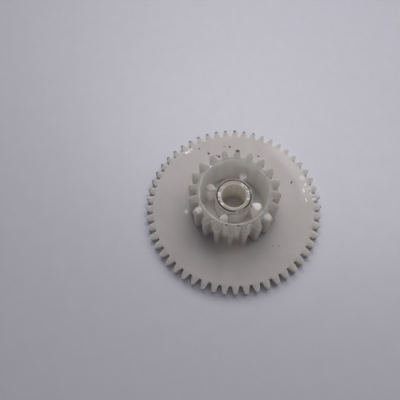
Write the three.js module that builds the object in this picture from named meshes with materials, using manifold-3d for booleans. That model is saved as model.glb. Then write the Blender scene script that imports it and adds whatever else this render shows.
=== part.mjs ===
// A cluster gear for a filament drive, and the plain sleeve that it turns on.
//
// The gear is one moulding of natural plastic: a thin 53-tooth wheel with a 20-tooth pinion raised
// on it. The pinion is cored out to a cup, and the hub stands in the cup. The sleeve fills the hub
// with a running gap and takes the spindle.
//
// Millimetres, +Z up along the spindle. The origin is on the spindle's axis, in the plane that the
// wheel's flat underside rests on.

import * as THREE from 'three';
import { mergeVertices } from 'three/addons/utils/BufferGeometryUtils.js';
import Module from 'manifold-3d';

const wasm = await Module();
wasm.setup();

const { PI, cos, sin, tan, acos } = Math;
const DEGREE = PI / 180;

// ---- driving dimensions -----------------------------------------------------------------------

const PRESSURE_ANGLE = 20 * DEGREE;

// addendum and dedendum are in modules. tooth is the direction of one tooth, turned from +X.
const wheel = {
  teeth: 53, module: 0.8, addendum: 1.0, dedendum: 1.25, backlash: 0.06, tooth: 81.25 * DEGREE,
};
const pinion = {
  teeth: 20, module: 1.0, addendum: 0.75, dedendum: 1.25, backlash: 0.08, tooth: 78.4 * DEGREE,
};
const ROOT_FILLET = 0.2;         // in modules

const FACE_WIDTH = 2.5;          // the wheel's teeth and web
const TOTAL_HEIGHT = 11.4;       // underside to the pinion's top
const HUB_HEIGHT = 8.4;          // underside to the hub's top, sunk below the pinion's
const CUP_RADIUS = 8.05;
const CUP_FLOOR = 1.3;           // thickness left under the cup
const CUP_CHAMFER = 0.25;
const HUB_RADIUS = 4.5;
const HUB_CHAMFER = 0.12;        // on both edges of the hub's mouth

const BOSS_COUNT = 4;
const BOSS_RADIUS = 1.0;
const BOSS_CIRCLE = 6.05;        // radius of the circle that the bosses stand on
const BOSS_HEIGHT = 7.7;         // underside to a boss's top
const FIRST_BOSS = 60 * DEGREE;  // direction of one boss, turned from +X
const RIB_THICKNESS = 0.8;       // the rib that ties a boss to the hub

const SPINDLE_RADIUS = 3.0;
const SLEEVE_RADIUS = 3.92;
const RUNNING_GAP = 0.23;        // sleeve to hub, on the radius
const SLEEVE_BORE_CHAMFER = 0.25;
const SLEEVE_RIM_CHAMFER = 0.125;
const HUB_BORE_RADIUS = SLEEVE_RADIUS + RUNNING_GAP;

const FLANK_STEPS = 4;           // straight facets along one tooth flank
const FILLET_RISE = 0.3;         // where the root fillet's middle point lies, as a share of it
const ROUND_SIDES = 72;
const BOSS_SIDES = 24;
const OVERSHOOT = 1;             // how far a cutter runs past the face that it opens
const OVERLAP = 0.2;             // how far joined solids reach into each other

// ---- materials --------------------------------------------------------------------------------

function naturalPlastic() {
  return new THREE.MeshStandardMaterial({ color: '#b9b4ab', roughness: 0.45, metalness: 0 });
}

function sleevePlastic() {
  return new THREE.MeshStandardMaterial({ color: '#b3a998', roughness: 0.35, metalness: 0 });
}

// ---- solids -----------------------------------------------------------------------------------

/** A closed geometry as a solid that can be joined and cut. */
function toSolid(geometry) {
  const bare = geometry.clone();
  bare.deleteAttribute('normal');
  bare.deleteAttribute('uv');
  const merged = mergeVertices(bare);
  const vertProperties = new Float32Array(merged.attributes.position.array);
  const triVerts = new Uint32Array(merged.index.array);
  return new wasm.Manifold(new wasm.Mesh({ numProp: 3, vertProperties, triVerts }));
}

/** A solid back as a geometry with flat-shaded normals. */
function toGeometry(solid) {
  const { vertProperties, triVerts } = solid.getMesh();
  const geometry = new THREE.BufferGeometry();
  geometry.setAttribute('position', new THREE.BufferAttribute(vertProperties, 3));
  geometry.setIndex(new THREE.BufferAttribute(triVerts, 1));
  geometry.computeVertexNormals();
  return geometry;
}

/** A body of revolution about Z. The profile is a list of [radius, height]. */
function turned(profile, sides = ROUND_SIDES) {
  const points = profile.map(([radius, height]) => new THREE.Vector2(radius, height));
  return toSolid(new THREE.LatheGeometry(points, sides).rotateX(PI / 2));
}

/** A disc between two heights. */
function disc(radius, bottom, top, sides = ROUND_SIDES) {
  return turned([[0, bottom], [radius, bottom], [radius, top], [0, top]], sides);
}

/** An outline in XY raised from one height to another. */
function raised(outline, bottom, top) {
  const geometry = new THREE.ExtrudeGeometry(new THREE.Shape(outline), {
    depth: top - bottom,
    bevelEnabled: false,
  });
  return toSolid(geometry.translate(0, 0, bottom));
}

// ---- gear teeth -------------------------------------------------------------------------------

function involute(angle) {
  return tan(angle) - angle;
}

function pitchRadius(gear) {
  return gear.module * gear.teeth / 2;
}

function tipRadius(gear) {
  return pitchRadius(gear) + gear.addendum * gear.module;
}

function rootRadius(gear) {
  return pitchRadius(gear) - gear.dedendum * gear.module;
}

/** Half the angle that a tooth takes up at the given radius, which isn't below the base circle. */
function halfToothAngle(gear, radius) {
  const pitch = pitchRadius(gear);
  const base = pitch * cos(PRESSURE_ANGLE);
  const thickness = PI * gear.module / 2 - gear.backlash;
  const rollAngle = acos(base / Math.max(radius, base));
  return thickness / (2 * pitch) + involute(PRESSURE_ANGLE) - involute(rollAngle);
}

/** One flank from root to tip, as [radius, angle from the tooth's middle]. */
function flank(gear) {
  const root = rootRadius(gear);
  const tip = tipRadius(gear);
  const fillet = ROOT_FILLET * gear.module;
  const filletAngle = fillet / root;
  const start = root + fillet;
  const points = [
    [root, halfToothAngle(gear, start) + filletAngle],
    [root + fillet * FILLET_RISE, halfToothAngle(gear, start) + filletAngle * FILLET_RISE],
  ];
  for (let step = 0; step <= FLANK_STEPS; step += 1) {
    const radius = start + (tip - start) * step / FLANK_STEPS;
    points.push([radius, halfToothAngle(gear, radius)]);
  }
  return points;
}

/** The gear's whole outline, tooth by tooth, anticlockwise. */
function gearOutline(gear) {
  const side = flank(gear);
  const rising = side.map(([radius, angle]) => [radius, -angle]);
  const falling = side.toReversed();
  const toothPitch = 2 * PI / gear.teeth;
  const outline = [];
  for (let index = 0; index < gear.teeth; index += 1) {
    const middle = gear.tooth + index * toothPitch;
    const tooth = [...rising, [tipRadius(gear), 0], ...falling, [rootRadius(gear), toothPitch / 2]];
    for (const [radius, angle] of tooth) {
      outline.push(new THREE.Vector2(radius * cos(middle + angle), radius * sin(middle + angle)));
    }
  }
  return outline;
}

// ---- the gear ---------------------------------------------------------------------------------

function cupCutter() {
  const mouth = CUP_RADIUS + CUP_CHAMFER;
  return turned([
    [0, CUP_FLOOR],
    [CUP_RADIUS, CUP_FLOOR],
    [CUP_RADIUS, TOTAL_HEIGHT - CUP_CHAMFER],
    [mouth, TOTAL_HEIGHT],
    [mouth, TOTAL_HEIGHT + OVERSHOOT],
    [0, TOTAL_HEIGHT + OVERSHOOT],
  ]);
}

function hubTube() {
  const bottom = CUP_FLOOR - OVERLAP;
  return turned([
    [0, bottom],
    [HUB_RADIUS, bottom],
    [HUB_RADIUS, HUB_HEIGHT - HUB_CHAMFER],
    [HUB_RADIUS - HUB_CHAMFER, HUB_HEIGHT],
    [0, HUB_HEIGHT],
  ]);
}

function boreCutter() {
  const mouth = HUB_BORE_RADIUS + HUB_CHAMFER;
  return turned([
    [0, -OVERSHOOT],
    [mouth, -OVERSHOOT],
    [mouth, 0],
    [HUB_BORE_RADIUS, HUB_CHAMFER],
    [HUB_BORE_RADIUS, HUB_HEIGHT - HUB_CHAMFER],
    [mouth, HUB_HEIGHT],
    [mouth, HUB_HEIGHT + OVERSHOOT],
    [0, HUB_HEIGHT + OVERSHOOT],
  ]);
}

/** A round boss standing on the cup's floor, with the narrow rib that ties it to the hub. */
function bossAndRib(direction) {
  const bottom = CUP_FLOOR - OVERLAP;
  const inner = HUB_RADIUS - OVERLAP;
  const boss = disc(BOSS_RADIUS, bottom, BOSS_HEIGHT, BOSS_SIDES).translate([BOSS_CIRCLE, 0, 0]);
  const box = new THREE.BoxGeometry(BOSS_CIRCLE - inner, RIB_THICKNESS, BOSS_HEIGHT - bottom);
  const rib = toSolid(box.translate((BOSS_CIRCLE + inner) / 2, 0, (BOSS_HEIGHT + bottom) / 2));
  return boss.add(rib).rotate([0, 0, direction / DEGREE]);
}

function compoundGear() {
  let gear = raised(gearOutline(wheel), 0, FACE_WIDTH);
  gear = gear.add(raised(gearOutline(pinion), FACE_WIDTH - OVERLAP, TOTAL_HEIGHT));
  gear = gear.subtract(cupCutter());
  gear = gear.add(hubTube());
  for (let index = 0; index < BOSS_COUNT; index += 1) {
    gear = gear.add(bossAndRib(FIRST_BOSS + index * 2 * PI / BOSS_COUNT));
  }
  gear = gear.subtract(boreCutter());
  return toGeometry(gear);
}

// ---- the sleeve -------------------------------------------------------------------------------

function sleeveBush() {
  const outerEdge = SLEEVE_RADIUS - SLEEVE_RIM_CHAMFER;
  const innerEdge = SPINDLE_RADIUS + SLEEVE_BORE_CHAMFER;
  const profile = [
    [innerEdge, 0],
    [outerEdge, 0],
    [SLEEVE_RADIUS, SLEEVE_RIM_CHAMFER],
    [SLEEVE_RADIUS, HUB_HEIGHT - SLEEVE_RIM_CHAMFER],
    [outerEdge, HUB_HEIGHT],
    [innerEdge, HUB_HEIGHT],
    [SPINDLE_RADIUS, HUB_HEIGHT - SLEEVE_BORE_CHAMFER],
    [SPINDLE_RADIUS, SLEEVE_BORE_CHAMFER],
    [innerEdge, 0],
  ];
  const points = profile.map(([radius, height]) => new THREE.Vector2(radius, height));
  return new THREE.LatheGeometry(points, ROUND_SIDES).rotateX(PI / 2);
}

// ---- assembly ---------------------------------------------------------------------------------

function piece(name, geometry, material) {
  const mesh = new THREE.Mesh(geometry, material);
  mesh.name = name;
  return mesh;
}

const assembly = new THREE.Group();
assembly.name = 'cluster_gear_and_sleeve';
assembly.add(piece('compound_gear', compoundGear(), naturalPlastic()));
assembly.add(piece('sleeve_bush', sleeveBush(), sleevePlastic()));

export default assembly;
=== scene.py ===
import math

import bmesh
import bpy
from mathutils import Matrix, Vector, noise
from mathutils.geometry import delaunay_2d_cdt


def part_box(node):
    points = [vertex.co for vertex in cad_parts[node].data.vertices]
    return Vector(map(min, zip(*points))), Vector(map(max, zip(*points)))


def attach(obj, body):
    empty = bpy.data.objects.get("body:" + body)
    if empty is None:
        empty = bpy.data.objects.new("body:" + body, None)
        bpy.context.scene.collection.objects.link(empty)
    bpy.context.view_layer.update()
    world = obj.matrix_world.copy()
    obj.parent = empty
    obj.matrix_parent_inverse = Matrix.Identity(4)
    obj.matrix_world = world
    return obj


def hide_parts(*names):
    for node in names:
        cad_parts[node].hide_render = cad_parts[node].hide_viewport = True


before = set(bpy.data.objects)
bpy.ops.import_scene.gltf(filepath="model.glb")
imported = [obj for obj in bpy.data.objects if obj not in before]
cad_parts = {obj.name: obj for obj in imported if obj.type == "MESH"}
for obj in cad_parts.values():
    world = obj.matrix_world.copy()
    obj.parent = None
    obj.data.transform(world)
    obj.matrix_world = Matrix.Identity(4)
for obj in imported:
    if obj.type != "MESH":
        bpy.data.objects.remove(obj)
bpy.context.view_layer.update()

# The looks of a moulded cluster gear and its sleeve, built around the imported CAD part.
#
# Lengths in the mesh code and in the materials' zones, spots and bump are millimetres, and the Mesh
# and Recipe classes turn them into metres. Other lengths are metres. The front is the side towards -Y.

MM = 0.001

# ---- sizes read from the frame ------------------------------------------------------------------

_, gear_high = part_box("compound_gear")
_, sleeve_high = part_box("sleeve_bush")

KEPT_INSIDE = 0.001              # how far the looks stay inside the CAD's upper faces
TOTAL_HEIGHT = gear_high.z / MM - KEPT_INSIDE
HUB_HEIGHT = sleeve_high.z / MM - KEPT_INSIDE
SLEEVE_RADIUS = sleeve_high.x / MM

# ---- design sizes, as in the CAD model ----------------------------------------------------------

PRESSURE_ANGLE = math.radians(20)
WHEEL = dict(
    teeth=53, module=0.8, addendum=1.0, dedendum=1.25, backlash=0.06, tooth=math.radians(81.25),
    root_fillet=0.24, tip_round=0.1,
)
PINION = dict(
    teeth=20, module=1.0, addendum=0.75, dedendum=1.25, backlash=0.08, tooth=math.radians(78.4),
    root_fillet=0.42, tip_round=0.24,
)
FACE_WIDTH = 2.5
CUP_RADIUS = 8.05
CUP_FLOOR = 1.3
HUB_RADIUS = 4.5
RUNNING_GAP = 0.23
HUB_BORE_RADIUS = SLEEVE_RADIUS + RUNNING_GAP
SPINDLE_RADIUS = 3.0
BOSS_COUNT = 4
BOSS_RADIUS = 1.0
BOSS_CIRCLE = 6.05
BOSS_HEIGHT = 7.7
FIRST_BOSS = math.radians(60)
RIB_THICKNESS = 0.8

# ---- finer shapes that the CAD model leaves out -------------------------------------------------

HUB_LEDGE = 0.04                 # the hub's draft, taken as one small ledge level with the bosses
RIB_TO_HUB_FILLET = 0.3
RIB_TO_BOSS_FILLET = 0.2

# Rounding radii at a wall's lower and upper edge. A negative one is a fillet added in the corner.
WHEEL_EDGES = dict(below=0.08, above=0.09)
PINION_EDGES = dict(below=-0.25, above=0.22)
CUP_EDGES = dict(below=-0.5, above=0.2)
LOBE_EDGES = dict(below=-0.15, above=0.3)
HUB_EDGES = dict(below=0.0, above=0.15)
HUB_BORE_EDGES = dict(below=0.12, above=0.12)
SLEEVE_RIM_EDGES = dict(below=0.12, above=0.12)
SLEEVE_BORE_EDGES = dict(below=0.25, above=0.3)

# Beads of flash on the hub's mouth, as (direction, half width) in degrees.
BEADS = [(-78, 20), (8, 12), (67, 6), (128, 6)]
BEAD_LEAN = 0.19                 # the most that a bead leans into the seam
BEAD_RISE = 0.17
BEAD_OVERHANG = 0.14             # how much farther its top reaches, above the sleeve
BEAD_BREADTH = 0.2               # how far from the bore's wall a bead takes the moulding along
BEAD_DEPTH = 0.9                 # how far down the bore a bead starts
BEAD_LIP = 0.02                  # how near the hub's top a point is to reach the farther
BEAD_UNEVENNESS = 0.15
BEAD_NOISE_SCALE = 3
BEAD_CLEAN = 1.3                 # a bead is clear of grease where its lump is over 1 / BEAD_CLEAN

# Above the cup's floor, only bosses and ribs stand between these radii.
LOBES_FROM = HUB_RADIUS + 0.3
LOBES_TO = CUP_RADIUS - 0.8
ROUNDING_RUN_IN = 0.25           # how far out along a rib its upper rounding becomes whole

CUP_SIDES = 192
HUB_SIDES = 144                  # the hub, its bore and the sleeve
FILLET_REACH = 1.15              # how far a tooth's rounding takes up its flank, in radii
SHARP_ANGLE = math.radians(40)
INSIDE_CONSTRAINTS = 1           # the kind of triangulation that Mesh.fill() asks for
WELD_DISTANCE = 1e-6

# ---- plane curves -------------------------------------------------------------------------------


def polar(radius, angle):
    return Vector((radius * math.cos(angle), radius * math.sin(angle)))


def circle(radius, count):
    return [polar(radius, 2 * math.pi * i / count) for i in range(count)]


def rounded(corners, steps=5):
    """A closed outline from (point, radius) corners. A corner with a radius becomes an arc."""
    outline = []
    for i, (point, radius) in enumerate(corners):
        if not radius:
            outline.append(point)
            continue
        before = (corners[i - 1][0] - point).normalized()
        after = (corners[(i + 1) % len(corners)][0] - point).normalized()
        half_turn = math.acos(max(-1.0, min(1.0, before.dot(after)))) / 2
        setback = radius / math.tan(half_turn)
        centre = point + (before + after).normalized() * (radius / math.sin(half_turn))
        start = point + before * setback - centre
        sweep = start.angle_signed(point + after * setback - centre)
        for step in range(steps + 1):
            outline.append(centre + Matrix.Rotation(-sweep * step / steps, 2) @ start)
    return outline


def offset(outline, distance, share=None):
    """The outline moved outward by a distance, or inward by a negative one. share scales the move
    of each point."""
    moved = []
    for i, point in enumerate(outline):
        along = (outline[(i + 1) % len(outline)] - outline[i - 1]).normalized()
        reach = distance * (share(point) if share else 1)
        moved.append(point + Vector((along.y, -along.x)) * reach)
    return moved


def involute(angle):
    return math.tan(angle) - angle


def pitch_radius(gear):
    return gear["module"] * gear["teeth"] / 2


def tip_radius(gear):
    return pitch_radius(gear) + gear["addendum"] * gear["module"]


def root_radius(gear):
    return pitch_radius(gear) - gear["dedendum"] * gear["module"]


def half_tooth_angle(gear, radius):
    """Half the angle that a tooth takes up at a radius."""
    pitch = pitch_radius(gear)
    base = pitch * math.cos(PRESSURE_ANGLE)
    thickness = math.pi * gear["module"] / 2 - gear["backlash"]
    roll = math.acos(base / max(radius, base))
    return thickness / (2 * pitch) + involute(PRESSURE_ANGLE) - involute(roll)


def gear_outline(gear, flank_steps=6):
    """Every tooth's flanks as involutes, with rounded tips and root fillets, anticlockwise."""
    tip = tip_radius(gear)
    root = root_radius(gear)
    low = root + gear["root_fillet"] * FILLET_REACH
    high = tip - gear["tip_round"] * FILLET_REACH
    radii = [low + (high - low) * i / flank_steps for i in range(flank_steps + 1)]
    side = [(root, half_tooth_angle(gear, root), gear["root_fillet"])]
    side += [(radius, half_tooth_angle(gear, radius), 0) for radius in radii]
    side += [(tip, half_tooth_angle(gear, tip), gear["tip_round"])]
    tooth_pitch = 2 * math.pi / gear["teeth"]
    corners = []
    for tooth in range(gear["teeth"]):
        middle = gear["tooth"] + tooth * tooth_pitch
        corners += [(polar(radius, middle - angle), fillet) for radius, angle, fillet in side]
        corners += [(polar(tip, middle), 0)]
        corners += [(polar(radius, middle + angle), fillet) for radius, angle, fillet in reversed(side)]
        corners += [(polar(root, middle + tooth_pitch / 2), 0)]
    return rounded(corners)


def lobed_outline(hub_radius, hub_steps=24, boss_steps=22):
    """The hub's circle with a narrow rib and a round boss standing out at each boss direction."""
    half = RIB_THICKNESS / 2
    rib_start = math.asin(half / hub_radius)
    boss_start = math.pi - math.asin(half / BOSS_RADIUS)
    arc = 2 * math.pi / BOSS_COUNT - 2 * rib_start
    margin = 0.1                 # radians left free at each end of the hub's arc for the rib's fillet
    corners = []
    for lobe in range(BOSS_COUNT):
        direction = FIRST_BOSS + lobe * 2 * math.pi / BOSS_COUNT
        boss_centre = Matrix.Rotation(direction, 2) @ Vector((BOSS_CIRCLE, 0))
        corners.append((polar(hub_radius, direction - rib_start), RIB_TO_HUB_FILLET))
        for step in range(boss_steps + 1):
            angle = -boss_start + 2 * boss_start * step / boss_steps
            fillet = RIB_TO_BOSS_FILLET if step in (0, boss_steps) else 0
            corners.append((boss_centre + polar(BOSS_RADIUS, direction + angle), fillet))
        corners.append((polar(hub_radius, direction + rib_start), RIB_TO_HUB_FILLET))
        for step in range(hub_steps + 1):
            angle = direction + rib_start + margin + (arc - 2 * margin) * step / hub_steps
            corners.append((polar(hub_radius, angle), 0))
    return rounded(corners)


# ---- meshes -------------------------------------------------------------------------------------


class Mesh:
    """A closed surface made of rings of points at different heights, with notes for the material."""

    def __init__(self):
        self.bm = bmesh.new()
        for name in ("edge", "top", "bead", "lobe"):
            self.bm.verts.layers.float.new(name)

    def mark(self, vert, name, amount):
        """Leaves a note of 0 to 1 on a vertex for the material."""
        vert[self.bm.verts.layers.float[name]] = amount

    def ring(self, outline, height, edge=0.0, top=0.0):
        """edge is 1 at the crest of a rounded edge and 0 on a face. top is 1 on an upper face."""
        verts = [self.bm.verts.new((point.x, point.y, height)) for point in outline]
        for vert in verts:
            self.mark(vert, "edge", edge)
            self.mark(vert, "top", top)
        return verts

    def bridge(self, low, high):
        """Four-sided faces between two rings of the same count."""
        count = len(low)
        for i in range(count):
            j = (i + 1) % count
            self.bm.faces.new((low[i], low[j], high[j], high[i]))

    def stack(self, rings):
        """Bridges each ring to the next, and returns the first and the last."""
        for low, high in zip(rings, rings[1:]):
            self.bridge(low, high)
        return rings[0], rings[-1]

    def fill(self, outer, *inner):
        """Triangles over the flat region inside one closed ring and outside the others."""
        rings = (outer, *inner)
        verts = [vert for ring in rings for vert in ring]
        first = 0
        outlines = []
        for ring in rings:
            outlines.append(list(range(first, first + len(ring))))
            first += len(ring)
        points = [vert.co.xy for vert in verts]
        _, _, triangles, sources, _, regions = delaunay_2d_cdt(
            points, [], outlines, INSIDE_CONSTRAINTS, WELD_DISTANCE)
        for triangle, region in zip(triangles, regions):
            if region == [0]:
                self.bm.faces.new([verts[sources[corner][0]] for corner in triangle])

    def finished(self, name):
        bmesh.ops.recalc_face_normals(self.bm, faces=self.bm.faces)
        bmesh.ops.scale(self.bm, vec=(MM, MM, MM), verts=self.bm.verts)
        mesh = bpy.data.meshes.new(name)
        self.bm.to_mesh(mesh)
        self.bm.free()
        piece = bpy.data.objects.new(name, mesh)
        bpy.context.scene.collection.objects.link(piece)
        mesh.shade_smooth()
        mesh.set_sharp_from_angle(angle=SHARP_ANGLE)
        weighted = piece.modifiers.new("flat_faces_stay_flat", "WEIGHTED_NORMAL")
        weighted.keep_sharp = True
        return piece


def edge_round(radius, steps):
    """(inset, drop, edge, top) from a wall round to the flat face above it."""
    if not radius:
        return [(0.0, 0.0, 0.0, 1.0)]
    crest = 1.0 if radius > 0 else 0.0
    rings = []
    for i in range(steps + 1):
        turn = math.pi / 2 * i / steps
        inset = radius * (1 - math.cos(turn))
        drop = abs(radius) * (1 - math.sin(turn))
        rings.append((inset, drop, crest * math.sin(2 * turn), math.sin(turn)))
    return rings


def rounded_wall(mesh, outline, bottom, top, below, above, steps=4, levels=2, out=1, share=None):
    """Rings up a wall, of which it returns the lowest and the highest. below and above are the
    rounding radii at its two edges, taken from the material, or added to it where negative. out is 1
    where the outline encloses material, else -1. share scales the rounding above, point by point."""
    rings = []
    for inset, drop, edge, _ in reversed(edge_round(below, steps)):
        rings.append(mesh.ring(offset(outline, -inset * out), bottom + drop, edge))
    for level in range(1, levels):
        rings.append(mesh.ring(outline, bottom + (top - bottom) * level / levels))
    for inset, drop, edge, facing_up in edge_round(above, steps):
        rings.append(mesh.ring(offset(outline, -inset * out, share), top - drop, edge, facing_up))
    return mesh.stack(rings)


def bead_lump(vert, away):
    """How far a bead is raised at a vertex, of 0 to 1. away is 0 in its middle and 1 at its ends."""
    unevenness = 1 - BEAD_UNEVENNESS + BEAD_UNEVENNESS * noise.noise(vert.co * BEAD_NOISE_SCALE)
    return math.cos(away * math.pi / 2) ** 0.5 * unevenness


def raise_beads(mesh):
    """Leans the hub's mouth over the seam at each bead, and up a little."""
    for vert in mesh.bm.verts:
        radius = vert.co.xy.length
        if radius > HUB_BORE_RADIUS + BEAD_BREADTH or vert.co.z < HUB_HEIGHT - BEAD_DEPTH:
            continue
        angle = math.degrees(math.atan2(vert.co.y, vert.co.x))
        for direction, half_width in BEADS:
            away = abs((angle - direction + 180) % 360 - 180) / half_width
            if away > 1:
                continue
            lump = bead_lump(vert, away)
            mesh.mark(vert, "bead", min(1.0, lump * BEAD_CLEAN))
            lip = HUB_BORE_RADIUS - BEAD_LEAN
            if vert.co.z > HUB_HEIGHT - BEAD_LIP:
                lip -= BEAD_OVERHANG
            vert.co.xy *= (radius + (lip - radius) * lump) / radius
            vert.co.z += BEAD_RISE * lump


def mark_lobes(mesh):
    """Tells the material where the bosses and their ribs stand."""
    for vert in mesh.bm.verts:
        if LOBES_FROM < vert.co.xy.length < LOBES_TO and vert.co.z > CUP_FLOOR:
            mesh.mark(vert, "lobe", 1.0)


def beyond_hub(point):
    """0 at the hub and 1 a little way out along a rib, where the lobes' rounding is whole."""
    return min(1.0, max(0.0, (point.length - HUB_RADIUS - HUB_LEDGE) / ROUNDING_RUN_IN))


def gear_moulding():
    mesh = Mesh()
    wheel = gear_outline(WHEEL)
    pinion = gear_outline(PINION)
    cup = circle(CUP_RADIUS, CUP_SIDES)
    lobes = lobed_outline(HUB_RADIUS + HUB_LEDGE)
    hub = circle(HUB_RADIUS, HUB_SIDES)
    bore = circle(HUB_BORE_RADIUS, HUB_SIDES)

    wheel_bottom, wheel_top = rounded_wall(mesh, wheel, 0, FACE_WIDTH, **WHEEL_EDGES)
    pinion_foot, pinion_top = rounded_wall(mesh, pinion, FACE_WIDTH, TOTAL_HEIGHT, **PINION_EDGES)
    mesh.fill(wheel_top, pinion_foot)

    cup_foot, cup_mouth = rounded_wall(mesh, cup, CUP_FLOOR, TOTAL_HEIGHT, **CUP_EDGES, out=-1)
    mesh.fill(pinion_top, cup_mouth)

    lobe_foot, lobe_top = rounded_wall(
        mesh, lobes, CUP_FLOOR, BOSS_HEIGHT, **LOBE_EDGES, steps=6, share=beyond_hub)
    mesh.fill(cup_foot, lobe_foot)

    hub_foot, hub_top = rounded_wall(mesh, hub, BOSS_HEIGHT, HUB_HEIGHT, **HUB_EDGES)
    mesh.fill(lobe_top, hub_foot)

    bore_bottom, bore_top = rounded_wall(mesh, bore, 0, HUB_HEIGHT, **HUB_BORE_EDGES, levels=12, out=-1)
    raise_beads(mesh)
    mark_lobes(mesh)
    mesh.fill(hub_top, bore_top)
    mesh.fill(wheel_bottom, bore_bottom)
    return mesh.finished("gear_moulding")


def turned_sleeve():
    mesh = Mesh()
    outer = circle(SLEEVE_RADIUS, HUB_SIDES)
    inner = circle(SPINDLE_RADIUS, HUB_SIDES)
    outer_bottom, outer_top = rounded_wall(mesh, outer, 0, HUB_HEIGHT, **SLEEVE_RIM_EDGES)
    inner_bottom, inner_top = rounded_wall(mesh, inner, 0, HUB_HEIGHT, **SLEEVE_BORE_EDGES, out=-1)
    mesh.fill(outer_top, inner_top)
    mesh.fill(outer_bottom, inner_bottom)
    return mesh.finished("turned_sleeve")


# ---- materials ----------------------------------------------------------------------------------

# A spot starts and is whole at these distances from its middle, in radii. The grain adds about a
# half on average, so its outline lies near its radius.
SPOT_STARTS = 1.75
SPOT_IS_WHOLE = 1.15


class Recipe:
    """A material being put together: its shader, and short ways to add the nodes that feed it."""

    def __init__(self, name):
        self.material = bpy.data.materials.new(name)
        self.material.use_nodes = True
        self.tree = self.material.node_tree
        self.shader = self.tree.nodes["Principled BSDF"]
        self.place = self.node("ShaderNodeTexCoord").outputs["Object"]

    def node(self, kind, sockets=None, **settings):
        """A new node. A named socket is linked to another node's output, or else set to a value."""
        node = self.tree.nodes.new(kind)
        for name, value in settings.items():
            setattr(node, name, value)
        for name, value in (sockets or {}).items():
            self.feed(node.inputs[name], value)
        return node

    def feed(self, socket, value):
        if isinstance(value, bpy.types.NodeSocket):
            self.tree.links.new(value, socket)
        elif socket.type == "RGBA":
            socket.default_value = (*value, 1)
        else:
            socket.default_value = value

    def surface(self, **sockets):
        for name, value in sockets.items():
            self.feed(self.shader.inputs[name.replace("_", " ")], value)

    def math(self, operation, first, second):
        return self.node("ShaderNodeMath", {0: first, 1: second}, operation=operation).outputs[0]

    def multiply_add(self, value, factor, extra):
        sockets = {0: value, 1: factor, 2: extra}
        return self.node("ShaderNodeMath", sockets, operation="MULTIPLY_ADD").outputs[0]

    def product(self, first, *others):
        result = first
        for other in others:
            result = self.math("MULTIPLY", result, other)
        return result

    def ramp(self, value, low, high):
        """0 before low, 1 past high, and smooth in between. low may be the greater of the two."""
        sockets = {"Value": value, "From Min": low, "From Max": high}
        return self.node("ShaderNodeMapRange", sockets, interpolation_type="SMOOTHSTEP").outputs["Result"]

    def zone(self, measure, low, high):
        """A ramp over a length, with low and high in millimetres."""
        return self.ramp(measure, low * MM, high * MM)

    def mix(self, amount, first, second):
        sockets = {"Factor": amount, "A": first, "B": second}
        return self.node("ShaderNodeMix", sockets, data_type="RGBA").outputs["Result"]

    def noise(self, scale, detail=2.0, roughness=0.5):
        sockets = {"Vector": self.place, "Scale": scale, "Detail": detail, "Roughness": roughness}
        return self.node("ShaderNodeTexNoise", sockets).outputs["Fac"]

    def distance_from(self, x, y, z):
        sockets = {0: self.place, 1: (x * MM, y * MM, z * MM)}
        return self.node("ShaderNodeVectorMath", sockets, operation="DISTANCE").outputs["Value"]

    def spotted(self, colour, spots, grain, amount, spot_colour):
        """The colour with (x, y, z, radius) spots of another over it. The grain roughens their outlines."""
        inside = 0.0
        for x, y, z, size in spots:
            rough = self.multiply_add(grain, size * MM, self.distance_from(x, y, z))
            inside = self.math("MAXIMUM", inside, self.zone(rough, size * SPOT_STARTS, size * SPOT_IS_WHOLE))
        return self.mix(self.product(inside, amount), colour, spot_colour)

    def attribute(self, name):
        """A note that the mesh code left on the vertices."""
        return self.node("ShaderNodeAttribute", attribute_name=name).outputs["Fac"]

    def bump(self, height, strength, distance):
        sockets = {"Height": height, "Strength": strength, "Distance": distance * MM}
        self.surface(Normal=self.node("ShaderNodeBump", sockets).outputs["Normal"])

    def axis_radius(self):
        """Distance from the spindle's axis."""
        flat = self.node("ShaderNodeVectorMath", {0: self.place, 1: (1, 1, 0)}, operation="MULTIPLY")
        return self.node("ShaderNodeVectorMath", {0: flat.outputs[0]}, operation="LENGTH").outputs["Value"]

    def coordinates(self):
        """X, Y and the height."""
        return self.node("ShaderNodeSeparateXYZ", {0: self.place}).outputs


# ---- dirt, scratches, painted highlights and glints, as (x, y, z, radius) -----------------------
#
# Their places are measured ones, rounded to a tenth of a millimetre.


def scratch(radius, direction, height, widening, turn, rise, count, size=0.14):
    """A broken scratch round the axis, as spots that each lie a little on from the last."""
    spots = []
    for i in range(count):
        place = polar(radius + widening * i, math.radians(direction + turn * i))
        spots.append((place.x, place.y, height + rise * i, size))
    return spots


DARK_SPECKS = [
    (1.3, 16.7, 2.5, 0.3), (-0.2, 16.9, 2.5, 0.2), (-4.6, 15.3, 2.5, 0.32), (15.6, 4.4, 2.5, 0.24),
    (15.9, 4.7, 2.5, 0.2), (-6.9, 17.0, 2.5, 0.22), (9.6, -11.7, 2.5, 0.16), (8.2, -11.5, 2.5, 0.12),
    (-1.9, 14.1, 2.5, 0.36), (-2.5, 14.4, 2.5, 0.22), (10.2, -0.5, 11.2, 0.36), (-2.9, -8.1, 11.4, 0.22),
    (-2.1, -10.4, 10.9, 0.2), (21.8, -0.4, 2.2, 0.3), (21.5, -2.9, 2.2, 0.3), (-9.5, 17.9, 2.4, 0.3),
    (3.1, 21.8, 2.3, 0.6), (-3.4, 9.6, 11.3, 0.25), (7.2, 8.9, 11.2, 0.22), (8.5, 13.0, 2.5, 0.26),
]
RUSTY_SPECKS = [(2.1, 10.2, 11.3, 0.52), (-0.3, -8.6, 11.4, 0.2)]
SCRATCH_ON_CUP_WALL = scratch(CUP_RADIUS, 81, 6.8, widening=0, turn=-7, rise=0.35, count=4)
SCRATCH_ON_RIM = scratch(8.7, -89.5, TOTAL_HEIGHT, widening=0.06, turn=3.8, rise=0, count=6)
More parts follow.
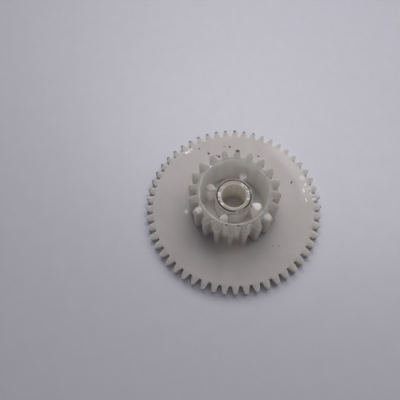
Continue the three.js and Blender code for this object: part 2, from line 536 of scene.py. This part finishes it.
FAINT_SCRATCHES = SCRATCH_ON_CUP_WALL + SCRATCH_ON_RIM
# Pale spots: painted highlights on the pinion's tops and the cup's rim, painted light on the back boss's top
# and by the web's right edge, and one pale spot on the web at the left.
PAINTED_HIGHLIGHTS_PALE = [
    (-11.9, -0.5, 2.5, 0.6), (-8.6, -3.9, 11.3, 0.8), (6.4, -7.3, 11.3, 0.9), (-4.8, 6.7, 11.3, 0.3),
    (3.1, 5.4, 7.7, 1.5), (18.6, 5.5, 2.5, 0.7),
]
# Stronger pale spots: a painted highlight on the right boss's top, and the pale spot on the web at the left.
PAINTED_HIGHLIGHTS_STRONG = [(5.3, -3.0, 7.6, 1.2), (-11.8, -0.6, 2.5, 0.4)]

# Painted highlights: small wet-looking glints, and patches flecked with smaller ones.
GLINTS = [
    (18.3, 1.7, 2.5, 0.3), (18.3, 2.2, 2.5, 0.28), (19.1, 3.6, 2.5, 0.26), (20.1, 2.3, 2.5, 0.22),
    (20.6, -0.7, 2.5, 0.3), (20.2, -0.7, 2.5, 0.3), (18.5, -0.9, 2.5, 0.24), (18.4, -0.4, 2.5, 0.22),
    (-10.6, 16.2, 2.5, 0.34), (-10.2, 16.3, 2.5, 0.28), (-9.0, 17.0, 2.5, 0.26), (-4.8, 6.7, 11.3, 0.22),
]
PAINTED_SPARKLE_PATCHES = [
    (19.5, 2.6, 2.5, 1.1), (20.4, 1.4, 2.5, 0.9), (-9.7, 16.7, 2.5, 0.6), (4.1, 0.4, 8.4, 0.5),
    (0.5, -4.3, 8.5, 0.8),
]
# Painted highlights on the sleeve's face: glints, and patches flecked with smaller ones.
SLEEVE_GLINTS = [
    (-3.5, 1.0, 8.4, 0.3), (-3.5, 0.4, 8.4, 0.24), (-3.7, -0.6, 8.4, 0.2), (-3.2, -1.6, 8.4, 0.16),
]
SLEEVE_PAINTED_SPARKLE_PATCHES = [
    (-3.4, 1.0, 8.4, 0.55), (-3.8, -0.5, 8.3, 0.5), (3.6, 0.5, 8.4, 0.7), (3.1, 1.7, 8.4, 0.6),
    (2.4, 2.6, 8.4, 0.5), (-3.0, -1.9, 8.4, 0.3), (-2.7, 2.3, 8.4, 0.4), (3.3, -1.0, 8.4, 0.4),
]
WHITE = (1.0, 1.0, 1.0)
SPARKLE_SCALE = 1900

# Laid over the gear in this order, as (spots, amount, colour).
MARKS = [
    # The first two are painted highlights.
    (PAINTED_HIGHLIGHTS_PALE, 0.4, (0.95, 0.93, 0.90)),
    (PAINTED_HIGHLIGHTS_STRONG, 0.75, (0.93, 0.90, 0.87)),
    (FAINT_SCRATCHES, 0.5, (0.12, 0.10, 0.09)),
    (RUSTY_SPECKS, 1.0, (0.035, 0.006, 0.006)),
    (DARK_SPECKS, 1.0, (0.012, 0.011, 0.01)),
]

# ---- the gear's plastic -------------------------------------------------------------------------
#
# It is cloudy. Light lost through the thin pinion greys it, and light caught in the cup, in the
# teeth's sides and behind the pinion's foot lifts it. These tones, by place, paint that light and
# shade into its colour.

WEB = (0.525, 0.48, 0.467)
# Painted sheen: the web is paler in a band by its right edge, in place of a broad highlight.
WEB_PAINTED_SHEEN = (0.72, 0.68, 0.67)
# Painted light: the web is paler in front of the pinion's foot, where light comes through the pinion.
WEB_LIT_THROUGH = (0.78, 0.73, 0.66)
PINION_FRONT_FOOT = (-1.8, -10.0, 2.5)       # the middle of the web's lit part
# Painted shade and light: the large teeth's tops are darker than the web, and their sides paler, most at the
# back.
WHEEL_TOOTH_TOP = (0.445, 0.42, 0.40)
WHEEL_TOOTH_SIDE_FRONT = (0.74, 0.67, 0.57)
WHEEL_TOOTH_SIDE_BACK = (0.80, 0.77, 0.75)
# Painted shade: dark tips on the large teeth at the back left.
TIP_PAINTED_SHADE = (0.10, 0.09, 0.08)
# Painted shade and light on the pinion: dark tops, darkest at the front; pale flanks, darker low at the
# front and palest in the front gaps.
PINION_TOP_FRONT = (0.26, 0.24, 0.21)
PINION_TOP_BACK = (0.325, 0.308, 0.29)
PINION_FRONT_LOW = (0.58, 0.545, 0.485)
PINION_FRONT_HIGH = (0.65, 0.62, 0.575)
PINION_FRONT_GAP = (0.72, 0.695, 0.655)
PINION_BACK = (0.64, 0.61, 0.57)
# Painted shade: the bosses' tops are darker at the front.
BOSS_TOP_FRONT = (0.25, 0.235, 0.215)
BOSS_TOP = (0.485, 0.465, 0.44)
HUB_TOP = (0.28, 0.26, 0.238)
# Painted light caught in the cup: its wall, its floor and the bosses' sides are near white.
CUP_WALL = (0.975, 0.915, 0.86)
BOSS_SIDE = (0.90, 0.885, 0.86)
# Painted highlight along the rounded edges.
EDGE_PAINTED_HIGHLIGHT = (0.92, 0.90, 0.86)
GREASE_DARK = (0.03, 0.02, 0.014)
GREASE_LIGHT = (0.10, 0.07, 0.05)

# Where its zones start and where they are whole, in millimetres along X, Y, the radius from the
# axis, the height, or the distance from a point. The second number may be the smaller one.
# The band of the painted sheen by the web's right edge.
BY_RIGHT_EDGE_RADIUS = (16.6, 18.4)
BY_RIGHT_EDGE_X = (9, 16)
BY_RIGHT_EDGE_Y = (-3, 3)
LIT_THROUGH_REACH = (6.5, 1.0)
WHEEL_FRONT_TO_BACK = (-16, 4)
IN_WHEEL_TEETH = (root_radius(WHEEL) - 0.7, root_radius(WHEEL) + 0.8)
AT_WHEEL_TIPS = (tip_radius(WHEEL) - 0.9, tip_radius(WHEEL) - 0.3)
# Where the painted shade on the large teeth's tips lies.
SHADED_TIPS_Y = (-4, 12)
SHADED_TIPS_X = (12, 5)
ABOVE_WEB = (FACE_WIDTH + 0.05, FACE_WIDTH + 1)
PINION_FRONT_TO_BACK = (-9, 2)
PINION_LOW_TO_HIGH = (3.5, 10)
IN_PINION_GAP = (root_radius(PINION) + 1.05, root_radius(PINION) + 0.15)
BOSSES_FRONT_TO_BACK = (-6.5, -4)
ON_BOSSES = (BOSS_HEIGHT - 1.2, BOSS_HEIGHT - 0.2)
ON_HUB = (HUB_HEIGHT - 0.6, HUB_HEIGHT - 0.1)
OFF_CUP_WALL = (CUP_RADIUS - 0.4, CUP_RADIUS - 0.7)
WITHIN_CUP_WALL = (CUP_RADIUS + 0.25, CUP_RADIUS + 0.05)
BELOW_CUP_MOUTH = (TOTAL_HEIGHT - 0.05, TOTAL_HEIGHT - 0.4)
ABOVE_UNDERSIDE = (0.4, CUP_FLOOR - 0.2)
CLEAR_OF_BOSSES = (7.4, 7.9)
WITHIN_PINION_TEETH = (8.8, 8.4)
ON_OUTER_WEB = (14, 16)
IN_HUB_SEAM = (HUB_BORE_RADIUS + 0.11, HUB_BORE_RADIUS + 0.05)

# How strongly some of them show, and how mottled the plastic is.
RIGHT_EDGE_SHEEN = 0.5
TIP_SHADE_AMOUNT = 0.85
EDGE_HIGHLIGHT_AMOUNT = 0.3
CLOUDING = 0.04
WEB_CLOUDING = 0.06
CUP_CLOUDING = 0.02
CLOUD_SCALE = 240
GRAIN_SCALE = 1400
TOP_NOTE = (0.45, 1.0)                       # where the mesh's top note starts and is whole
PAINTED_SPARKLE_NOISE = (0.56, 0.66)
GREASE_WAVER = 0.12


class MilkyPlastic(Recipe):
    """The gear's material, in zones that share these measures and noises."""

    def __init__(self):
        super().__init__("natural_acetal")
        self.radius = self.axis_radius()
        self.x, self.y, self.height = self.coordinates()
        self.cloud = self.noise(CLOUD_SCALE, 4.0, 0.6)
        self.grain = self.noise(GRAIN_SCALE, 3.0, 0.6)
        self.on_top = self.ramp(self.attribute("top"), *TOP_NOTE)

    def tone(self, colour, spread=CLOUDING):
        """The colour, clouded by spread to either side."""
        dark = [channel - spread for channel in colour]
        light = [channel + spread for channel in colour]
        return self.mix(self.cloud, dark, light)

    def web(self):
        """The wheel's flat face, with a painted sheen by its right edge and painted light at the front
        of the pinion's foot.
        """
        web = self.tone(WEB, WEB_CLOUDING)
        # painted sheen by the right edge
        sheen_by_right_edge = self.product(
            self.zone(self.radius, *BY_RIGHT_EDGE_RADIUS),
            self.zone(self.x, *BY_RIGHT_EDGE_X),
            self.zone(self.y, *BY_RIGHT_EDGE_Y),
            RIGHT_EDGE_SHEEN)
        web = self.mix(sheen_by_right_edge, web, self.tone(WEB_PAINTED_SHEEN))
        # painted light in front of the pinion's foot
        lit_through = self.zone(self.distance_from(*PINION_FRONT_FOOT), *LIT_THROUGH_REACH)
        return self.mix(lit_through, web, WEB_LIT_THROUGH)

    def wheel(self):
        """The web and the large teeth. Their sides take painted light, and their tops and their
        tips at the back left take painted shade.
        """
        # painted light on the teeth's sides and painted shade on their tops
        to_back = self.zone(self.y, *WHEEL_FRONT_TO_BACK)
        side = self.mix(to_back, self.tone(WHEEL_TOOTH_SIDE_FRONT), self.tone(WHEEL_TOOTH_SIDE_BACK))
        teeth = self.mix(self.on_top, side, self.tone(WHEEL_TOOTH_TOP))
        wheel = self.mix(self.zone(self.radius, *IN_WHEEL_TEETH), self.web(), teeth)
        # painted shade on the tips at the back left
        shaded_tips = self.product(
            self.zone(self.radius, *AT_WHEEL_TIPS),
            self.zone(self.y, *SHADED_TIPS_Y),
            self.zone(self.x, *SHADED_TIPS_X),
            TIP_SHADE_AMOUNT)
        return self.mix(shaded_tips, wheel, TIP_PAINTED_SHADE)

    def pinion(self):
        """The pinion's top and flanks, in painted light and shade: dark tops, darkest at the front, and
        pale flanks that darken low at the front. The gaps between its front teeth are the palest.
        """
        to_back = self.zone(self.y, *PINION_FRONT_TO_BACK)
        top = self.mix(to_back, self.tone(PINION_TOP_FRONT), self.tone(PINION_TOP_BACK))
        upwards = self.zone(self.height, *PINION_LOW_TO_HIGH)
        front = self.mix(upwards, self.tone(PINION_FRONT_LOW), self.tone(PINION_FRONT_HIGH))
        in_gap = self.zone(self.radius, *IN_PINION_GAP)
        front = self.mix(in_gap, front, self.tone(PINION_FRONT_GAP))
        flank = self.mix(to_back, front, self.tone(PINION_BACK))
        return self.mix(self.on_top, flank, top)

    def cup(self):
        """The cup's wall and floor, the hub, the bosses and the ribs. Walls, floor and the bosses' sides
        are near white with painted light, and the bosses' tops take painted shade at the front.
        """
        wall = self.tone(CUP_WALL, CUP_CLOUDING)
        side = self.mix(self.attribute("lobe"), wall, self.tone(BOSS_SIDE, CUP_CLOUDING))
        off_front = self.zone(self.y, *BOSSES_FRONT_TO_BACK)
        boss_top = self.mix(off_front, self.tone(BOSS_TOP_FRONT), self.tone(BOSS_TOP))
        top = self.mix(self.zone(self.height, *ON_HUB), boss_top, self.tone(HUB_TOP))
        raised = self.product(self.zone(self.height, *ON_BOSSES), self.zone(self.radius, *OFF_CUP_WALL))
        return self.mix(raised, side, top)

    def in_cup(self):
        """1 in the cup and in the hub's bore."""
        return self.product(
            self.zone(self.radius, *WITHIN_CUP_WALL),
            self.zone(self.height, *BELOW_CUP_MOUTH),
            self.zone(self.height, *ABOVE_UNDERSIDE))

    def with_painted_edge_highlights(self, colour):
        """Painted highlights: paler along the edges of the cup's mouth and of the large teeth."""
        on_mouth = self.zone(self.radius, *WITHIN_PINION_TEETH)
        on_wheel = self.zone(self.radius, *ON_OUTER_WEB)
        edge_highlight = self.product(
            self.attribute("edge"),
            self.math("MAXIMUM", on_mouth, on_wheel),
            self.zone(self.radius, *CLEAR_OF_BOSSES),
            EDGE_HIGHLIGHT_AMOUNT)
        return self.mix(edge_highlight, colour, EDGE_PAINTED_HIGHLIGHT)

    def with_marks(self, colour):
        """Painted highlights, scratches, dirt, and painted glints and sparkles over the colour."""
        for spots, amount, mark in MARKS:
            colour = self.spotted(colour, spots, self.grain, amount, mark)
        # painted sparkles and glints, white in the colour
        sparkle = self.ramp(self.noise(SPARKLE_SCALE), *PAINTED_SPARKLE_NOISE)
        colour = self.spotted(colour, PAINTED_SPARKLE_PATCHES, self.grain, sparkle, WHITE)
        return self.spotted(colour, GLINTS, self.grain, 1.0, WHITE)

    def with_greasy_seam(self, colour):
        """Old grease on the bore's wall and at its mouth, except on the beads of flash."""
        wavering = self.multiply_add(self.grain, GREASE_WAVER * MM, self.radius)
        clear_of_bead = self.math("SUBTRACT", 1.0, self.attribute("bead"))
        greasy = self.product(self.zone(wavering, *IN_HUB_SEAM), clear_of_bead)
        return self.mix(greasy, colour, self.mix(self.cloud, GREASE_DARK, GREASE_LIGHT))


def natural_acetal():
    """Unpigmented, milky acetal."""
    plastic = MilkyPlastic()
    outside = plastic.mix(plastic.zone(plastic.height, *ABOVE_WEB), plastic.wheel(), plastic.pinion())
    colour = plastic.mix(plastic.in_cup(), outside, plastic.cup())
    # painted highlights along the edges
    colour = plastic.with_painted_edge_highlights(colour)
    colour = plastic.with_marks(colour)
    colour = plastic.with_greasy_seam(colour)
    plastic.surface(
        Base_Color=colour,
        Roughness=plastic.multiply_add(plastic.grain, 0.2, 0.32),
        IOR=1.48,
        Subsurface_Weight=1.0,
        Subsurface_Radius=(1.0, 0.94, 0.86),
        Subsurface_Scale=0.0032,
    )
    plastic.bump(plastic.grain, strength=0.3, distance=0.03)
    return plastic.material


# ---- the sleeve's plastic and the floor ---------------------------------------------------------

SLEEVE_FACE_DARK = (0.24, 0.21, 0.175)
SLEEVE_FACE_LIGHT = (0.44, 0.39, 0.33)
# The colour of the painted sparkles on the sleeve's face.
SLEEVE_PAINTED_SPARKLE = (1.0, 0.98, 0.94)
# Painted light: the bore's wall is near white. Painted shade darkens it low down.
SLEEVE_BORE_DARK = (0.88, 0.81, 0.72)
SLEEVE_BORE_LIGHT = (0.96, 0.89, 0.80)
SLEEVE_BORE_PAINTED_SHADE = (0.48, 0.40, 0.28)
SLEEVE_GREASE = (0.06, 0.045, 0.034)
SLEEVE_GRAIN_SCALE = 2600
SLEEVE_PAINTED_SPARKLE_NOISE = (0.5, 0.62)
SLEEVE_GREASE_WAVER = 0.06
LOW_DOWN_SHADE_AMOUNT = 0.5

# Zones, as for the gear's plastic.
LOW_DOWN = (4.5, 0.5)
IN_SLEEVE_BORE = (SPINDLE_RADIUS + 0.28, SPINDLE_RADIUS + 0.05)
IN_SLEEVE_SEAM = (SLEEVE_RADIUS - 0.02, SLEEVE_RADIUS + 0.01)

MOTTLE_SCALE = 260
FLOOR_DARK = (0.585, 0.575, 0.632)
FLOOR_LIGHT = (0.655, 0.645, 0.708)


def sleeve_polymer():
    """A greyish bearing polymer with grease in its seam. Painted light makes it paler down the bore,
    and painted shade darkens the bore low down.
    """
    recipe = Recipe("sleeve_polymer")
    radius = recipe.axis_radius()
    _, _, height = recipe.coordinates()
    grain = recipe.noise(SLEEVE_GRAIN_SCALE, 3.0, 0.6)
    sparkle = recipe.ramp(recipe.noise(SPARKLE_SCALE), *SLEEVE_PAINTED_SPARKLE_NOISE)
    face = recipe.mix(grain, SLEEVE_FACE_DARK, SLEEVE_FACE_LIGHT)
    # painted sparkles and glints on the sleeve's face
    face = recipe.spotted(face, SLEEVE_PAINTED_SPARKLE_PATCHES, grain, sparkle, SLEEVE_PAINTED_SPARKLE)
    face = recipe.spotted(face, SLEEVE_GLINTS, grain, 1.0, WHITE)
    bore = recipe.mix(grain, SLEEVE_BORE_DARK, SLEEVE_BORE_LIGHT)
    # painted shade low down in the bore
    low_down = recipe.product(recipe.zone(height, *LOW_DOWN), LOW_DOWN_SHADE_AMOUNT)
    bore = recipe.mix(low_down, bore, SLEEVE_BORE_PAINTED_SHADE)
    polymer = recipe.mix(recipe.zone(radius, *IN_SLEEVE_BORE), face, bore)
    wavering = recipe.multiply_add(grain, SLEEVE_GREASE_WAVER * MM, radius)
    recipe.surface(
        Base_Color=recipe.mix(recipe.zone(wavering, *IN_SLEEVE_SEAM), polymer, SLEEVE_GREASE),
        Roughness=recipe.multiply_add(grain, 0.2, 0.2),
        Subsurface_Weight=0.8,
        Subsurface_Radius=(1.0, 0.92, 0.8),
        Subsurface_Scale=0.0018,
    )
    recipe.bump(grain, strength=1.0, distance=0.06)
    return recipe.material


def floor_finish():
    recipe = Recipe("floor_finish")
    mottle = recipe.noise(MOTTLE_SCALE, 5.0, 0.7)
    recipe.surface(Base_Color=recipe.mix(mottle, FLOOR_DARK, FLOOR_LIGHT), Roughness=0.4)
    return recipe.material


# ---- the object ---------------------------------------------------------------------------------

moulding = gear_moulding()
moulding.data.materials.append(natural_acetal())
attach(moulding, "gear")
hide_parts("compound_gear")

sleeve = turned_sleeve()
sleeve.data.materials.append(sleeve_polymer())
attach(sleeve, "sleeve")
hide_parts("sleeve_bush")

# ---- floor, lights and camera -------------------------------------------------------------------

FLOOR_HALF_WIDTH = 2.0                                # metres
SKY = (0.86, 0.87, 1.0)
CAMERA_PLACE = (-8.09 * MM, -32.97 * MM, 87.22 * MM)
CAMERA_TILT = math.radians(22.51)                     # away from straight down, towards +Y
CAMERA_ROLL = math.radians(-5.63)


def floor():
    bm = bmesh.new()
    bmesh.ops.create_grid(bm, x_segments=1, y_segments=1, size=FLOOR_HALF_WIDTH)
    mesh = bpy.data.meshes.new("floor")
    bm.to_mesh(mesh)
    bm.free()
    plane = bpy.data.objects.new("floor", mesh)
    bpy.context.scene.collection.objects.link(plane)
    mesh.materials.append(floor_finish())


def soft_light(name, distance, heading, elevation, size, watts):
    """An oval softbox aimed at the object, in metres and degrees. heading is turned from +X."""
    light = bpy.data.lights.new(name, "AREA")
    light.shape = "ELLIPSE"
    light.size, light.size_y = size
    light.energy = watts
    level = distance * math.cos(math.radians(elevation))
    spot = polar(level, math.radians(heading)).to_3d()
    spot.z = distance * math.sin(math.radians(elevation))
    lamp = bpy.data.objects.new(name, light)
    lamp.location = spot
    lamp.rotation_euler = (-spot).to_track_quat("-Z", "Y").to_euler()
    bpy.context.scene.collection.objects.link(lamp)


def surroundings(brightness):
    world = bpy.data.worlds.new("surroundings")
    world.use_nodes = True
    world.node_tree.nodes["Background"].inputs["Color"].default_value = (*SKY, 1)
    world.node_tree.nodes["Background"].inputs["Strength"].default_value = brightness
    bpy.context.scene.world = world


def close_up_camera():
    """A phone's view from about 9 cm, looking along +Y and steeply down, with a slight roll."""
    camera = bpy.data.cameras.new("camera")
    camera.lens = 32.5
    camera.sensor_width = 36
    camera.clip_start = 0.005
    holder = bpy.data.objects.new("camera", camera)
    tilt = Matrix.Rotation(CAMERA_TILT, 4, "X")
    roll = Matrix.Rotation(CAMERA_ROLL, 4, "Z")
    holder.matrix_world = Matrix.Translation(CAMERA_PLACE) @ tilt @ roll
    bpy.context.scene.collection.objects.link(holder)
    bpy.context.scene.camera = holder


floor()
soft_light("window", distance=0.17, heading=66, elevation=60, size=(0.28, 0.12), watts=0.20)
soft_light("side", distance=0.25, heading=80, elevation=50, size=(0.15, 0.15), watts=0.05)
soft_light("fill", distance=0.25, heading=205, elevation=62, size=(0.15, 0.15), watts=0.012)
surroundings(brightness=0.16)
close_up_camera()
bpy.context.scene.view_settings.view_transform = "Standard"
